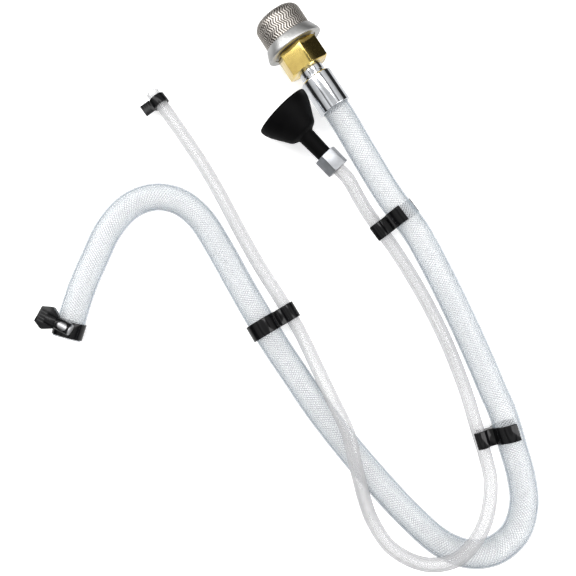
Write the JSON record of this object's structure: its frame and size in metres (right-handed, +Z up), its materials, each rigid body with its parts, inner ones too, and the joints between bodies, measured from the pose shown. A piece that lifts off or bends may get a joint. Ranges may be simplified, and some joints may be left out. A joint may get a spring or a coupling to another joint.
{
  "type": "suction and return hose set",
  "caption": "Clear suction hose with a mesh strainer and a worm clamp, held by clips beside a thin clear return tube with a bell deflector and a snap clamp.",
  "frame": {"origin": "on the floor, under the middle of the box of the fittings and clips (the two hoses left out)", "axes": "+Z up; +X to the right and +Y away from the viewer, seen from above with the strainer at the far side"},
  "size_m": [0.4411, 0.5015, 0.0545],
  "materials": {
    "mesh_steel": "woven wire, satin",
    "support_steel": "satin",
    "collar_steel": "satin",
    "seal_rubber": "matte",
    "nut_brass": "machined, bright",
    "wire_steel": "bright",
    "plated_steel": "polished",
    "hose_clear": "clear, woven reinforcement",
    "band_black": "gloss black",
    "housing_steel": "bright",
    "key_plastic": "satin",
    "deflector_plastic": "satin, fine grain",
    "nut_steel": "plated, satin",
    "insert_brass": "machined",
    "tube_clear": "clear",
    "snap_plastic": "gloss",
    "clip_plastic": "gloss"
  },
  "bodies": {
    "hoses": {"suction_hose": "hose_clear", "hose_stem": "plated_steel", "crimp_ferrule": "plated_steel", "seat_washer": "seal_rubber", "nut_wire": "wire_steel", "clamp_band": "band_black", "clamp_housing": "band_black", "return_tube": "tube_clear", "tube_insert": "insert_brass", "insert_seal": "seal_rubber", "snap_clamp_ring": "snap_plastic"},
    "swivel": {"swivel_nut": "nut_brass"},
    "strainer": {"strainer_mesh": "mesh_steel", "strainer_support": "support_steel", "strainer_collar": "collar_steel", "strainer_base": "collar_steel"},
    "tube_nut": {"tube_nut": "nut_steel"},
    "deflector": {"deflector": "deflector_plastic"},
    "key": {"clamp_screw": "housing_steel", "thumb_key": "key_plastic"},
    "jaw": {"snap_clamp_jaw": "snap_plastic"},
    "clip_upper": {"hose_clip_upper": "clip_plastic"},
    "clip_middle": {"hose_clip_middle": "clip_plastic"},
    "clip_lower": {"hose_clip_lower": "clip_plastic"}
  },
  "joints": [
    {"name": "nut_turn", "type": "hinge", "parent": "hoses", "child": "swivel", "pos_m": [0.0239, 0.14332, 0.02578], "axis": [0.5578, -0.827, -0.0698], "range_deg": [0, 2160]},
    {"name": "strainer_slide", "type": "slide", "parent": "hoses", "child": "strainer", "axis": [-0.5578, 0.827, 0.0698], "range_m": [0, 0.01088]},
    {"name": "tube_nut_turn", "type": "hinge", "parent": "hoses", "child": "tube_nut", "pos_m": [0.04561, 0.05611, 0.02339], "axis": [0.6987, -0.7135, -0.0523], "range_deg": [0, 1440]},
    {"name": "deflector_slide", "type": "slide", "parent": "hoses", "child": "deflector", "axis": [-0.6987, 0.7135, 0.0523], "range_m": [0, 0.00601]},
    {"name": "clamp_screw_turn", "type": "hinge", "parent": "hoses", "child": "key", "pos_m": [-0.18959, -0.09048, 0.0338], "axis": [-0.8808, 0.4735, 0], "continuous": true},
    {"name": "snap_jaw_open", "type": "hinge", "parent": "hoses", "child": "jaw", "pos_m": [-0.1067, 0.1216, 0.0081], "axis": [-0.6, 0.8, 0], "range_deg": [0, 60]},
    {"name": "clip_upper_slide", "type": "slide", "parent": "hoses", "child": "clip_upper", "axis": [-0.5938, 0.8046, 0], "range_m": [-0.008, 0.008]},
    {"name": "clip_middle_slide", "type": "slide", "parent": "hoses", "child": "clip_middle", "axis": [-0.5145, 0.8575, 0], "range_m": [-0.008, 0.008]},
    {"name": "clip_lower_slide", "type": "slide", "parent": "hoses", "child": "clip_lower", "axis": [-0.2747, 0.9615, 0], "range_m": [-0.008, 0.008]}
  ],
  "couplings": [
    {"joint": "nut_turn", "follows": "strainer_slide", "rad_per_m": 3463.8},
    {"joint": "deflector_slide", "follows": "tube_nut_turn", "m_per_rad": 0.0002387}
  ]
}
